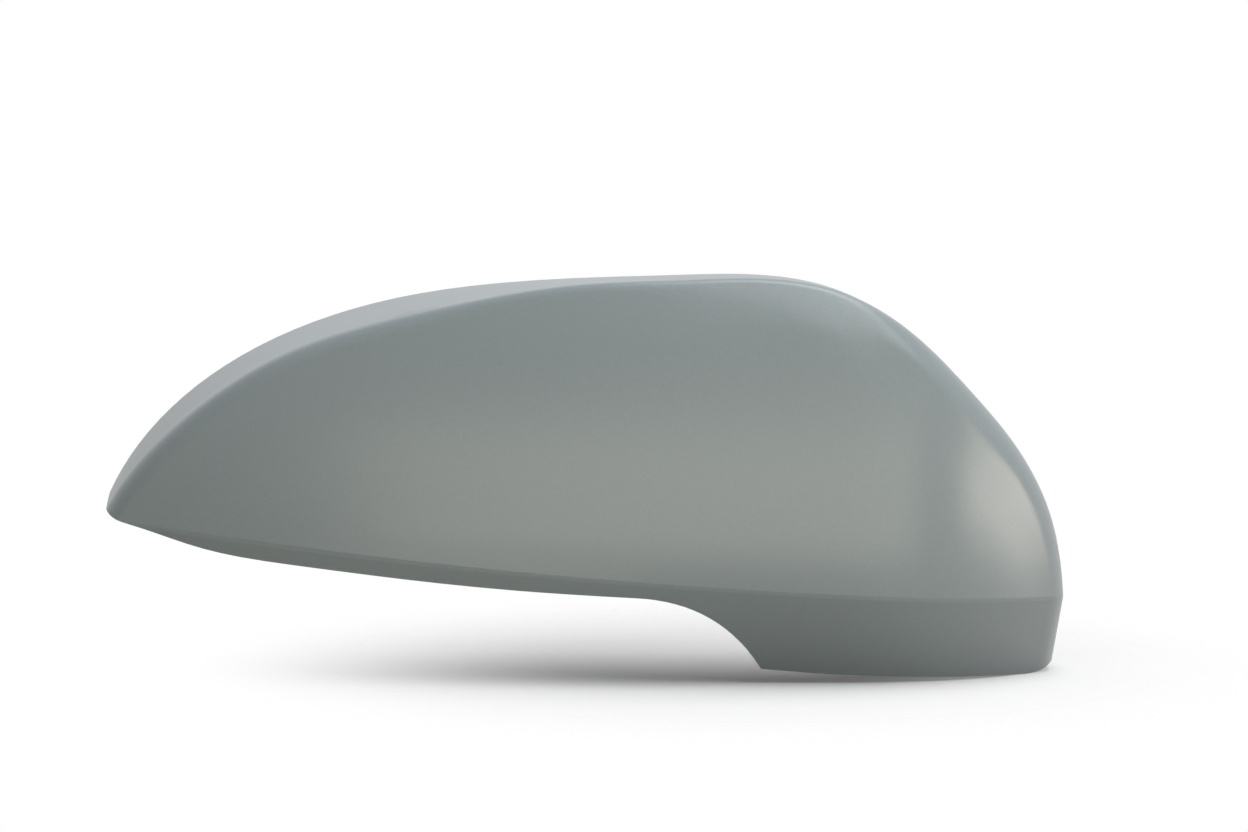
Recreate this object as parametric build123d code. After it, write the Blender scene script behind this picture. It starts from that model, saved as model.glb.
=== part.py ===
"""Cover cap of a car's door mirror: one thin shell, moulded in one piece.

The frame is the car's: +X towards the door, +Y to the rear, +Z up. The origin lies on the axis of the main
locating peg, on the shoulder that the mirror's inner frame seats against. The shell is open behind and below.
"""

import math
import os

from build123d import *

# Rear rim, a flat edge: (x, z) from past the outboard tip, over the crest, to below the inboard side
RIM_Y = 30.0
TIP_X = -128.5
CREST_Z = 50.1
INBOARD_X = 122.7
RIM_POINTS = (
    (TIP_X, -21.0),
    (-108.0, 15.0),
    (-61.0, 41.0),
    (-10.0, 48.8),
    (28.0, CREST_Z),
    (54.0, 49.1),
    (72.0, 43.2),
    (93.0, 26.8),
    (116.2, -3.4),
    (INBOARD_X, -32.0),
    (122.0, -68.0),
)

# Front face: foremost at the nose, falling back towards both ends and leaning back above and below
NOSE_DEPTH = 66.0
NOSE_X = 55.0
OUTBOARD_FALL = 34.0
OUTBOARD_CURL = 2.2
INBOARD_FALL = 36.0
INBOARD_CURL = 2.6
FACE_RADIUS = 140.0
FACE_Z = 8.0

# Top and side walls by the rim's x: draft in degrees, radius of the edge, and lean of the soft shoulder
WALL = 2.5
DRAFTS = ((TIP_X, 14.0), (-61.0, 6.0), (8.0, 1.0), (54.0, 0.6), (116.0, 3.0))
EDGE_RADII = ((TIP_X, 9.0), (-61.0, 5.0), (8.0, 2.2), (54.0, 2.6), (78.0, 7.0), (116.0, 13.0))
INNER_EDGE_RADIUS = 3.0
SHOULDER_LEANS = ((8.0, 0.0), (60.0, 2.0), (100.0, 0.0))
SHOULDER_BAND = 11.0

# Crease under the front face, and the skirt that slants in below it
CREASE_POINTS = ((-150.0, -8.0), (-97.0, -14.6), (-46.0, -20.4), (28.0, -26.6), (89.0, -30.0), (140.0, -32.5))
CREASE_RADIUS = 4.0
SKIRT_SLANT = 30.0
SKIRT_SIDE_SLANT = 6.0
SKIRT_HEIGHT = 45.0

# Lower edge seen from the front: round the tip, along the lip, down the cut-out and along the foot to its heel
TIP_ROUND = ((-124.5, -3.0), (-122.0, -8.2), (-118.5, -11.0))
LIP_POINTS = ((-113.5, -12.7), (-97.0, -17.8), (-71.0, -22.1), (-21.0, -27.2), (13.4, -29.2))
CUTOUT_MIDDLE = (30.1, -33.9)
FOOT_CORNER = (43.6, -47.4)
FOOT_POINTS = ((60.0, -48.8), (112.0, -51.2))
HEEL_POINTS = ((119.0, -49.3), (124.0, -42.0))

# Locating pegs on gusseted bosses, the main one at the origin
PEG_RADIUS = 3.0
PEG_LENGTH = 13.0
PEG_LEAD = 1.0
SECOND_PEG_X = -62.0
BOSS_RADIUS = 4.5
GUSSET_DROP = 6.0
GUSSET_FLARE = 20.0

# Stiffening ribs on the back of the front face
RIB = 1.2
RIB_HEIGHT = 5.0
RIB_X = (-93.0, -31.0, 31.0, 62.0, 93.0)

# Snap hooks: along the rim by share of its length, and above the lip by x and z
RIM_HOOKS = (0.24, 0.40, 0.55, 0.80)
LIP_HOOKS = ((-80.0, -8.0), (-44.0, -12.0))
HOOK_WIDTH = 9.0
HOOK_REACH = 22.0
HOOK_ROOT = 3.0
HOOK_THICKNESS = 2.0
HOOK_GAP = 4.0
HOOK_BARB = 1.6
HOOK_LEAD = 5.0
HOOK_REAR_GAP = 8.0
HOOK_WEB_SLOPE = 15.0
HOOK_WEB_GAP = 11.0

# Sections of the skin: upright as far as the fan, then turning about a pole below it; points are spaced
# by their distance from the middle of the rounded edge
SECTIONS = 19
FAN_X = 30.0
FAN_Z = -115.0
FAN_INNER = 40.0
OVERRUN = 8.0
EDGE_STEPS = (-16, -8, -4, -2, -1, 0, 1, 2, 4, 8, 16)
SECTION_KNOTS = (-112, -80, -48, *EDGE_STEPS, 36, 56)
FAR = 250.0

rim = Spline(*[(x, RIM_Y, z) for x, z in RIM_POINTS])
skin_rear = RIM_Y + OVERRUN


def blend(x, table):
    """Value at x in a table of (x, value), eased between neighbours and level past the ends."""
    for (low, a), (high, b) in zip(table, table[1:]):
        if x <= high:
            break
    share = min(1, max(0, (x - low) / (high - low)))
    return a + (b - a) * share**2 * (3 - 2 * share)


def front(x, z, inset):
    """Y of the front face, set back by inset along its normal."""
    if x < NOSE_X:
        reach, fall, curl = TIP_X - NOSE_X, OUTBOARD_FALL, OUTBOARD_CURL
    else:
        reach, fall, curl = INBOARD_X - NOSE_X, INBOARD_FALL, INBOARD_CURL
    share = (x - NOSE_X) / reach
    slope_x = fall * curl * share ** (curl - 1) / reach
    slope_z = (z - FACE_Z) / FACE_RADIUS
    setback = fall * share**curl + slope_z * (z - FACE_Z) / 2 + inset * math.hypot(1, slope_x, slope_z)
    return RIM_Y - NOSE_DEPTH + setback


def section(share, inset):
    """Section of the skin at a share of the rim: up the front face, round the edge and back along the wall."""
    spot, along = rim @ share, rim % share
    pole = Vector(min(spot.X, FAN_X), 0, FAN_Z)
    up = Vector(spot.X, 0, spot.Z) - pole
    top = up.length - inset * up.length / up.dot(Vector(-along.Z, 0, along.X))
    up = up.normalized()
    plane = Plane(origin=pole, x_dir=up, z_dir=up.cross(Vector(0, 1, 0)))
    draft = math.radians(blend(spot.X, DRAFTS))
    radius = max(blend(spot.X, EDGE_RADII) - inset, INNER_EDGE_RADIUS)
    lean = blend(spot.X, SHOULDER_LEANS)

    def on_wall(y):
        return Vector(top - (RIM_Y - y) * math.tan(draft), y)

    def on_face(s):
        place = pole + up * s
        near = max(0, 1 - (top - s) / SHOULDER_BAND)
        return Vector(s, front(place.X, place.Z, inset) + lean * near**2)

    corner = Vector(top, 0)
    for _ in range(12):
        corner = on_face(on_wall(corner.Y).X)
    ahead = (on_face(corner.X) - on_face(corner.X - 0.01)).normalized()
    back = Vector(math.sin(draft), math.cos(draft))
    turn = math.acos(ahead.dot(back))
    touch = radius * math.tan(turn / 2)
    half_arc = radius * turn / 2
    inward = (back - ahead).normalized()
    centre = corner + inward * (radius / math.cos(turn / 2))

    def at(step):
        if step < -half_arc:
            return on_face(corner.X - (touch - half_arc - step) * ahead.X)
        if step > half_arc:
            return on_wall(corner.Y + (touch - half_arc + step) * back.Y)
        return centre - inward.rotate(Axis.Z, math.degrees(step / radius)) * radius

    edge = [at(step) for step in EDGE_STEPS]
    face = [on_face(FAN_INNER + (edge[0].X - FAN_INNER) * i / 3) for i in range(3)]
    wall = [on_wall(edge[-1].Y + (skin_rear - edge[-1].Y) * i / 2) for i in (1, 2)]
    points = [plane.from_local_coords(point) for point in face + edge + wall]
    return Wire([Edge.make_spline(points, parameters=SECTION_KNOTS)])


def form(inset):
    """The cap as if filled: all that lies behind the skin, with the skirt slanting in below the crease."""
    skin = Shell.make_loft([section(i / (SECTIONS - 1), inset) for i in range(SECTIONS)]).face()
    behind = Solid.extrude(skin, Vector(0, FAR, 0)) - Pos(0, OVERRUN / 2, 0) * behind_rim
    crease = Spline(*[(x, -FAR, z) for x, z in CREASE_POINTS])
    sheet = Face.extrude(crease, Vector(0, 2 * FAR, 0))
    upper = behind - Solid.extrude(sheet, Vector(0, 0, -FAR))
    inwards, backwards = math.tan(math.radians(SKIRT_SIDE_SLANT)), math.tan(math.radians(SKIRT_SLANT))
    lower = Solid.extrude(behind & sheet, Vector(-inwards, backwards, -1) * SKIRT_HEIGHT)
    return upper + lower


def peg(x):
    """Locating peg with its lead-in, its boss and four gussets, from ahead of the cap to the peg's tip."""
    root = Plane((x, -NOSE_DEPTH, 0), x_dir=(1, 0, 0), z_dir=(0, 1, 0))
    solid = Solid.make_cylinder(BOSS_RADIUS, NOSE_DEPTH, root)
    solid += Solid.make_cylinder(PEG_RADIUS, PEG_LENGTH, root.offset(NOSE_DEPTH))
    solid += Solid.make_cone(PEG_RADIUS, PEG_RADIUS - PEG_LEAD, PEG_LEAD, root.offset(NOSE_DEPTH + PEG_LENGTH))
    height = NOSE_DEPTH - GUSSET_DROP
    flare = height * math.tan(math.radians(GUSSET_FLARE))
    fin = Polygon((-flare, 0), (flare, 0), (0, height), align=None)
    for across in (Vector(1, 0, 0), Vector(0, 0, 1)):
        face = Plane(root.origin, x_dir=across, z_dir=across.cross(Vector(0, 1, 0)))
        solid += extrude(face * fin, RIB / 2, both=True)
    return solid


def hook_arm(root, tip):
    """Outline of a snap hook's arm from its tip back to its root, with the barb on its far side."""
    barb = tip - HOOK_LEAD
    top = HOOK_THICKNESS + HOOK_BARB
    return [(tip, 0), (tip, HOOK_THICKNESS), (barb, top), (barb, HOOK_THICKNESS), (root, HOOK_THICKNESS)]


def rim_hook(share):
    """Snap hook standing off the top or side wall on a stem, at a share of the rim."""
    spot, along = rim @ share, rim % share
    inward = Vector(along.Z, 0, -along.X)
    face = Plane(spot + inward * (WALL + HOOK_GAP), x_dir=(0, 1, 0), z_dir=Vector(0, 1, 0).cross(inward))
    tip = -HOOK_REAR_GAP
    root = tip - HOOK_REACH
    outside = -2 * (WALL + HOOK_GAP)
    stem = [(root, outside), (root + HOOK_ROOT, outside), (root + HOOK_ROOT, 0)]
    return extrude(face * Polygon(*stem, *hook_arm(root, tip), align=None), HOOK_WIDTH / 2, both=True)


def lip_hook(x, z):
    """Snap hook reaching back from the front face above the lip, with a web over its root."""
    face = Plane((x, RIM_Y, z), x_dir=(0, 1, 0), z_dir=(-1, 0, 0))
    tip = -HOOK_REAR_GAP
    root = tip - NOSE_DEPTH
    arm = Polygon((root, 0), *hook_arm(root, tip), align=None)
    heel = tip - HOOK_WEB_GAP
    rise = (heel - root) * math.tan(math.radians(HOOK_WEB_SLOPE))
    web = Polygon((root, 0), (heel, 0), (root, -rise), align=None)
    return extrude(face * arm, HOOK_WIDTH / 2, both=True) + extrude(face * web, RIB / 2, both=True)


# What is cut away: all behind the rim, and all below the lower edge
behind_rim = Pos(0, RIM_Y + FAR, 0) * Box(2 * FAR, 2 * FAR, 2 * FAR)
lip = Spline(*TIP_ROUND, *LIP_POINTS)
cutout = Spline(LIP_POINTS[-1], CUTOUT_MIDDLE, FOOT_CORNER)
foot = Polyline(FOOT_CORNER, *FOOT_POINTS)
heel = Spline(FOOT_POINTS[-1], *HEEL_POINTS)
around = Polyline(HEEL_POINTS[-1], (FAR, 0), (FAR, -FAR), (-FAR, -FAR), (-FAR, 0), TIP_ROUND[0])
lower_edge = Face(Wire([lip, cutout, *foot.edges(), heel, *around.edges()]))
below_lip = extrude(Plane.XZ * lower_edge, FAR, both=True)

# The shell, its crease rounded on the outside
filled = form(0)
crease = filled.edges().filter_by(lambda edge: (edge @ 0.5).Y < 0).sort_by(Axis.Z)[-1]
shell = filled.fillet(CREASE_RADIUS, [crease]).cut(form(WALL), behind_rim, below_lip)

# Ribs follow the front face, then all that stands inside is rooted in the middle of the wall
rib_line = Spline(*[(x, front(x, FACE_Z, WALL) + RIB_HEIGHT) for x in (TIP_X, *RIB_X, INBOARD_X)])
rib_front = Polyline(rib_line @ 1, (INBOARD_X, -FAR), (TIP_X, -FAR), rib_line @ 0)
rib_zone = extrude(Face(Wire([rib_line, *rib_front.edges()])), FAR, both=True)
ribs = [Pos(x, 0, 0) * Box(RIB, 2 * FAR, 2 * FAR) for x in RIB_X] + [Box(2 * FAR, 2 * FAR, RIB)]
hooks = [rim_hook(share) for share in RIM_HOOKS] + [lip_hook(x, z) for x, z in LIP_HOOKS]
inside = ((Part() + ribs) & rib_zone) + [peg(0), peg(SECOND_PEG_X)] + hooks
cap = shell + ((inside & form(WALL / 2)) - below_lip)

os.makedirs("parts", exist_ok=True)
export_step(cap, "parts/mirror_cap.step")
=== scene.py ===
import math

import bpy
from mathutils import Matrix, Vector


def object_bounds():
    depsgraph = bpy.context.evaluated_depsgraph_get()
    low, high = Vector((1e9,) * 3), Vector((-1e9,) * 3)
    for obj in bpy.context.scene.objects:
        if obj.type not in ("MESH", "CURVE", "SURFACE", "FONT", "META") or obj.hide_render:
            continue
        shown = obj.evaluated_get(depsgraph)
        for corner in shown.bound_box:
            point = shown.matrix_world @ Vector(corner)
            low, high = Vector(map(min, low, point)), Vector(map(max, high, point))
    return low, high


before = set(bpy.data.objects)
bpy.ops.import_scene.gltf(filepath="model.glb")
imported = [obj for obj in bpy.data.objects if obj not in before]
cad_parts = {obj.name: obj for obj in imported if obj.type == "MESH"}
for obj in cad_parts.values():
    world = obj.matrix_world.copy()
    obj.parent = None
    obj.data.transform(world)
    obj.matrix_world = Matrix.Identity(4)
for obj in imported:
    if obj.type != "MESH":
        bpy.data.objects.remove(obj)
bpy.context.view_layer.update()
scene = bpy.context.scene

# The cap: one moulded plastic shell, sprayed outside with satin grey primer. The coat is a little uneven in
# tone and gloss, and its surface has the fine ripple of sprayed paint.
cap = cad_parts["mirror_cap"]
primer = bpy.data.materials.new("primer")
primer.use_nodes = True
nodes, links = primer.node_tree.nodes, primer.node_tree.links
shader = nodes["Principled BSDF"].inputs


def add(kind, inputs, **settings):
    """Add a node to the tree in hand, feed its inputs with values or sockets, and return its outputs."""
    node = nodes.new("ShaderNode" + kind)
    for name, value in settings.items():
        setattr(node, name, value)
    for name, value in inputs.items():
        if isinstance(value, bpy.types.NodeSocket):
            links.new(value, node.inputs[name])
        else:
            node.inputs[name].default_value = value
    return node.outputs


def maths(operation, left, right):
    """The result of a maths node on two numbers or sockets."""
    return add("Math", {0: left, 1: right}, operation=operation)["Value"]


place = add("TexCoord", {})["Object"]
clouds = add("TexNoise", {"Vector": place, "Scale": 22.0, "Detail": 3.0})["Fac"]
cool, pale = (0.220, 0.262, 0.282, 1), (0.232, 0.272, 0.290, 1)
tone = add("Mix", {"Factor": clouds, "A": cool, "B": pale}, data_type="RGBA")["Result"]
specks = add("TexNoise", {"Vector": place, "Scale": 1400.0, "Detail": 2.0})["Fac"]
grain = add("MapRange", {"Value": specks, "To Min": 0.94, "To Max": 1.06})["Result"]
coat = add("VectorMath", {0: tone, "Scale": grain}, operation="SCALE")["Vector"]
gloss = add("MapRange", {"Value": clouds, "To Min": 0.26, "To Max": 0.33})["Result"]
links.new(gloss, shader["Roughness"])
peel = add("TexNoise", {"Vector": place, "Scale": 420.0, "Detail": 1.0})["Fac"]
ripple = add("Bump", {"Height": peel, "Strength": 0.12, "Distance": 0.0001})["Normal"]
links.new(ripple, shader["Normal"])

# Inside the cap the bare dark plastic shows, with overspray behind the rim. What is sprayed is told by where
# a spot lies and which way it faces: ahead, on the rim, or out on one of the walls and edges.
x, y, z = add("SeparateXYZ", {"Vector": place}).values()
true_normal = add("NewGeometry", {})["True Normal"]
facing_x, facing_y, facing_z = add("SeparateXYZ", {"Vector": true_normal}).values()

tip_x, length, height = -0.1285, 0.2515, 0.1
crest = nodes.new("ShaderNodeFloatCurve")
for along, up in (
    (0.08, 0.15), (0.27, 0.41), (0.47, 0.488), (0.62, 0.501), (0.73, 0.491), (0.8, 0.432), (0.88, 0.268)
):
    crest.mapping.curves[0].points.new(along, up)
crest.mapping.curves[0].points[-1].location = (1.0, 0.0)
crest.mapping.update()
links.new(maths("DIVIDE", maths("SUBTRACT", x, tip_x), length), crest.inputs["Value"])
below_crest = maths("SUBTRACT", maths("MULTIPLY", crest.outputs["Value"], height), z)
inboard = maths("MAXIMUM", x, maths("ADD", x, z))
by_cutout = maths("MULTIPLY", maths("LESS_THAN", z, -0.03), maths("LESS_THAN", x, 0.05))

ahead, on_rim = maths("LESS_THAN", facing_y, -0.12), maths("GREATER_THAN", y, 0.0295)
sprayed = maths("MAXIMUM", ahead, on_rim)
for faces, lies in (
    (maths("GREATER_THAN", facing_z, 0.35), maths("LESS_THAN", below_crest, 0.012)),  # top wall
    (maths("GREATER_THAN", facing_x, 0.35), maths("GREATER_THAN", inboard, 0.107)),  # inboard wall
    (maths("LESS_THAN", facing_x, -0.3), maths("LESS_THAN", x, -0.105)),  # tip
    (maths("LESS_THAN", facing_z, -0.6), maths("LESS_THAN", z, -0.0105)),  # lower edge
    (maths("LESS_THAN", facing_x, -0.3), by_cutout),  # edge of the cut-out
):
    sprayed = maths("MAXIMUM", sprayed, maths("MULTIPLY", faces, lies))
ragged = maths("ADD", y, maths("MULTIPLY", clouds, 0.006))
overspray = add("MapRange", {"Value": ragged, "From Min": 0.018, "From Max": 0.034})["Result"]
sprayed = maths("MAXIMUM", sprayed, overspray)
plastic = (0.045, 0.047, 0.05, 1)
skin = add("Mix", {"Factor": sprayed, "A": plastic, "B": coat}, data_type="RGBA")["Result"]
links.new(skin, shader["Base Color"])
for slot in cap.material_slots:
    slot.material = primer

# The floor: a plain pale patch that takes the shadow and runs out into the white all round. The camera and
# reflections see it white, and it throws little light back up at the cap.
low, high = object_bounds()
mesh = bpy.data.meshes.new("floor")
mesh.from_pydata([(-1, -1, low[2]), (1, -1, low[2]), (1, 1, low[2]), (-1, 1, low[2])], [], [(0, 1, 2, 3)])
floor = bpy.data.objects.new("floor", mesh)
scene.collection.objects.link(floor)
paper = bpy.data.materials.new("paper")
paper.use_nodes = True
nodes, links = paper.node_tree.nodes, paper.node_tree.links
matt = nodes["Principled BSDF"].inputs
matt["Roughness"].default_value = 0.9
matt["Specular IOR Level"].default_value = 0.0
matt["Emission Color"].default_value = (1, 1, 1, 1)

path = add("LightPath", {})
seen = maths("MAXIMUM", path["Is Camera Ray"], path["Is Glossy Ray"])
seen = maths("MAXIMUM", seen, path["Is Transmission Ray"])
dim, white = (0.1, 0.1, 0.1, 1), (0.85, 0.85, 0.85, 1)
links.new(add("Mix", {"Factor": seen, "A": dim, "B": white}, data_type="RGBA")["Result"], matt["Base Color"])
links.new(maths("MULTIPLY", seen, 0.02), matt["Emission Strength"])

place = add("TexCoord", {})["Object"]
patch = add("Mapping", {"Vector": place, "Location": (-0.27, -0.21, 0.0), "Scale": (6.4, 4.5, 0.0)})["Vector"]
reach = add("VectorMath", {0: patch}, operation="LENGTH")["Value"]
ends = {"Value": reach, "From Min": 0.25, "From Max": 0.95}
fade = add("MapRange", ends, interpolation_type="SMOOTHSTEP")["Result"]
clear = add("BsdfTransparent", {})["BSDF"]
faded = add("MixShader", {0: fade, 1: nodes["Principled BSDF"].outputs["BSDF"], 2: clear})["Shader"]
links.new(faded, nodes["Material Output"].inputs["Surface"])
mesh.materials.append(paper)

# Studio light: a softbox high at the front right, one overhead for the shadow and a strip behind for the
# crest. Two low cards in front and a low panel at the right stand for the pale table that the cap reflects.
for name, place, aim, size, power, colour in (
    ("key", (0.59, -0.84, 1.03), (0.0, 0.0, 0.0), (1.2, 1.0), 9.3, (0.95, 0.98, 1.0)),
    ("top", (0.35, 0.05, 1.15), (0.05, 0.03, 0.0), (0.9, 0.7), 7.8, (1.0, 1.0, 1.0)),
    ("rim", (0.0, 0.75, 0.75), (0.0, 0.0, 0.03), (1.4, 0.5), 0.7, (1.0, 1.0, 1.0)),
    ("card", (0.06, -0.6, -0.05), (0.02, -0.03, 0.0), (0.9, 0.2), 1.2, (1.0, 0.92, 0.7)),
    ("low_card", (0.06, -0.6, -0.24), (0.02, -0.03, 0.0), (0.9, 0.12), 1.1, (1.0, 0.93, 0.82)),
    ("side", (0.68, -0.08, -0.08), (0.1, 0.0, -0.02), (0.45, 0.18), 1.45, (1.0, 0.9, 0.8)),
):
    lamp = bpy.data.lights.new(name, "AREA")
    lamp.shape, lamp.size, lamp.size_y, lamp.energy, lamp.color = "RECTANGLE", *size, power, colour
    light = bpy.data.objects.new(name, lamp)
    light.location = place
    light.rotation_euler = (Vector(aim) - Vector(place)).to_track_quat("-Z", "Y").to_euler()
    scene.collection.objects.link(light)

# White backdrop: white to the camera and nearly so in reflections, with a dim dome of light from above for
# the rest.
world = bpy.data.worlds.new("studio")
scene.world = world
world.use_nodes = True
nodes, links = world.node_tree.nodes, world.node_tree.links
back = nodes["Background"].inputs
back["Color"].default_value = (1, 1, 1, 1)
path = add("LightPath", {})
seen = maths("MAXIMUM", path["Is Camera Ray"], path["Is Transmission Ray"])
seen = maths("MAXIMUM", seen, maths("MULTIPLY", path["Is Glossy Ray"], 0.85))
way = add("SeparateXYZ", {"Vector": add("TexCoord", {})["Generated"]})
dome = add("MapRange", {"Value": way["Z"], "From Min": -0.05, "From Max": 0.05, "To Max": 0.28})["Result"]
links.new(maths("MAXIMUM", seen, dome), back["Strength"])

# The camera: nearly level, square to the front, with a long lens.
camera = bpy.data.objects.new("camera", bpy.data.cameras.new("camera"))
scene.collection.objects.link(camera)
scene.camera = camera
camera.data.lens = 126.1
camera.data.sensor_width = 36.0
camera.data.shift_x = 0.0309
camera.data.shift_y = 0.0469
camera.location = (0.0, -1.1015, 0.0576)
camera.rotation_euler = (math.radians(87.0), 0.0, 0.0)
scene.view_settings.view_transform = "Standard"
